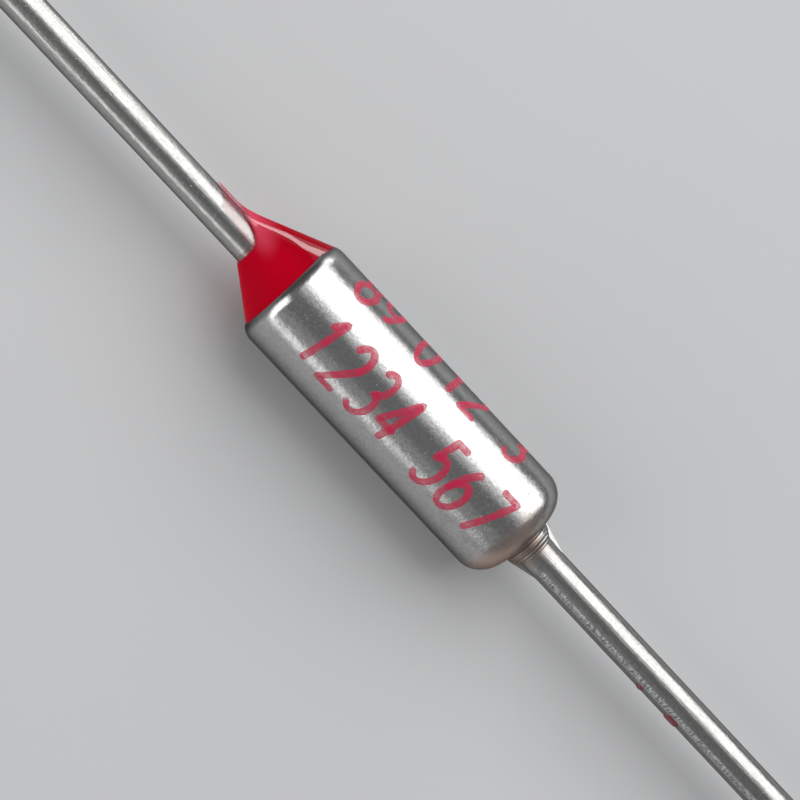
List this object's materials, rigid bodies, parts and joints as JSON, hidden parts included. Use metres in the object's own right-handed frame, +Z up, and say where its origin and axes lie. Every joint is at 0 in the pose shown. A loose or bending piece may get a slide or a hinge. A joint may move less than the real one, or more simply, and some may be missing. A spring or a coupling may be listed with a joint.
{
  "type": "thermal fuse",
  "caption": "Axial one-shot thermal cut-off: a small metal can with a red sealed end, a straight wire lead on the axis at each end, and the sprung contact and pellet inside.",
  "frame": {"origin": "on the axis, half way along the can", "axes": "+X along the axis from the sealed, isolated lead to the case lead, +Z up"},
  "size_m": [0.064, 0.004, 0.004],
  "materials": {
    "can_metal": "plated, satin, with fine handling marks",
    "lead_metal": "tinned wire, satin, with drawing marks",
    "red_epoxy": "glossy cast epoxy",
    "red_ink": "thin stamped ink",
    "ceramic": "matt fired ceramic",
    "contact_metal": "silver plated",
    "spring_steel": "drawn wire",
    "disc_brass": "stamped",
    "pellet_wax": "pressed organic powder"
  },
  "bodies": {
    "root": {"case": "can_metal", "epoxy_seal": "red_epoxy", "isolated_lead": "lead_metal", "case_lead": "lead_metal", "ceramic_bushing": "ceramic", "star_contact": "contact_metal", "trip_spring": "spring_steel", "barrel_spring": "spring_steel", "contact_disc": "disc_brass", "pellet_disc": "disc_brass", "thermal_pellet": "pellet_wax"}
  },
  "joints": []
}
